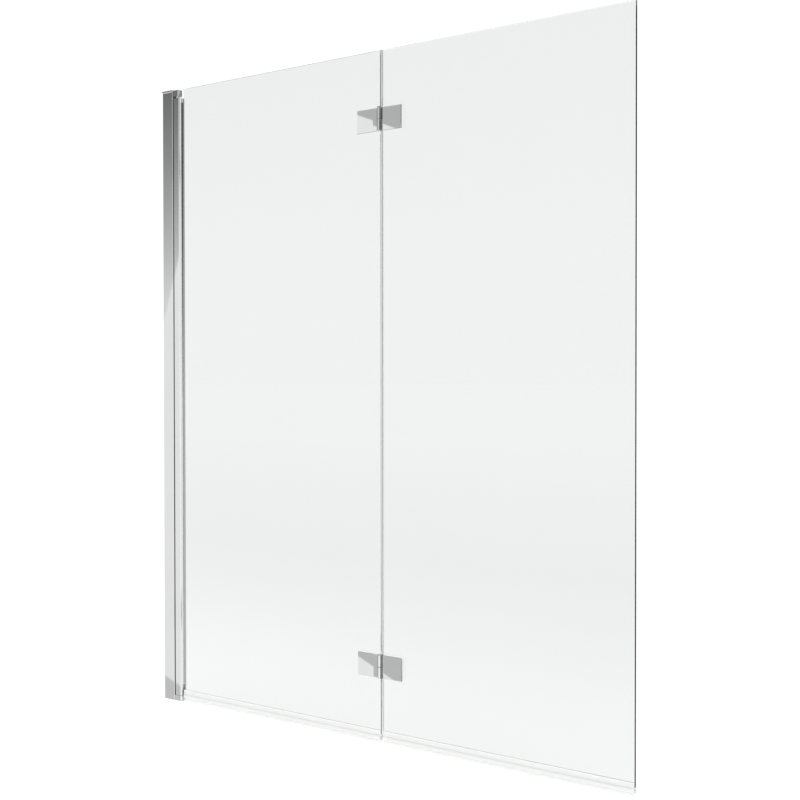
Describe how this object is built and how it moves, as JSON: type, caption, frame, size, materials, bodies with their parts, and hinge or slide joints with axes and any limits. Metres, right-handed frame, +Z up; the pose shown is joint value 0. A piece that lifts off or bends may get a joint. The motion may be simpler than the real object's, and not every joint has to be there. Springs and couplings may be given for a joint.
{
  "type": "bath screen",
  "caption": "Frameless bath screen of clear glass panes that fold together on glass hinges and swing on a bright wall profile, with drip seals below.",
  "frame": {"origin": "on the wall face of the channel, in the middle plane of the glass, at the level of the bath rim", "axes": "+X from the wall along the glass to the free edge, -Y towards the room, +Z up"},
  "size_m": [1.2, 0.026, 1.4],
  "materials": {
    "chrome_extrusion": "bright polished chrome-effect aluminium extrusion",
    "chrome_casting": "bright polished chrome",
    "stainless_steel": "turned stainless steel",
    "white_acetal": "moulded white acetal",
    "grey_pvc": "dark grey extruded PVC",
    "glazing_pvc": "grey translucent PVC wedge",
    "clear_pvc": "clear flexible PVC",
    "clear_glass": "clear toughened glass with polished edges"
  },
  "bodies": {
    "wall_side": {"wall_profile": "chrome_extrusion", "wall_profile_lid": "chrome_casting", "channel_strip": "grey_pvc", "pivot_block_top": "chrome_casting", "pivot_block_bottom": "chrome_casting", "pivot_pin_top": "stainless_steel", "pivot_pin_bottom": "stainless_steel", "block_screws": "stainless_steel"},
    "inner_panel": {"pivot_profile": "chrome_extrusion", "pivot_bush_top": "white_acetal", "pivot_bush_bottom": "white_acetal", "glazing_gasket_front": "glazing_pvc", "glazing_gasket_back": "glazing_pvc", "glass_inner": "clear_glass", "bottom_seal_inner": "clear_pvc", "upper_leaf_inner": "chrome_casting", "lower_leaf_inner": "chrome_casting", "upper_gasket_inner": "clear_pvc", "lower_gasket_inner": "clear_pvc", "back_discs_inner": "chrome_casting", "disc_washers_inner": "clear_pvc", "leaf_screws_inner": "stainless_steel", "hinge_pin_upper": "stainless_steel", "hinge_pin_lower": "stainless_steel", "hinge_washer_upper": "white_acetal", "hinge_washer_lower": "white_acetal"},
    "outer_panel": {"glass_outer": "clear_glass", "bottom_seal_outer": "clear_pvc", "joint_seal": "clear_pvc", "upper_leaf_outer": "chrome_casting", "lower_leaf_outer": "chrome_casting", "upper_gasket_outer": "clear_pvc", "lower_gasket_outer": "clear_pvc", "back_discs_outer": "chrome_casting", "disc_washers_outer": "clear_pvc", "leaf_screws_outer": "stainless_steel", "hinge_bush_upper": "white_acetal", "hinge_bush_lower": "white_acetal"}
  },
  "joints": [
    {"name": "screen_swing", "type": "hinge", "parent": "wall_side", "child": "inner_panel", "pos_m": [0.0425, 0, 0], "axis": [0, 0, 1], "range_deg": [-90, 90]},
    {"name": "panel_fold", "type": "hinge", "parent": "inner_panel", "child": "outer_panel", "pos_m": [0.635, -0.0088, 0], "axis": [0, 0, -1], "range_deg": [0, 180]}
  ]
}
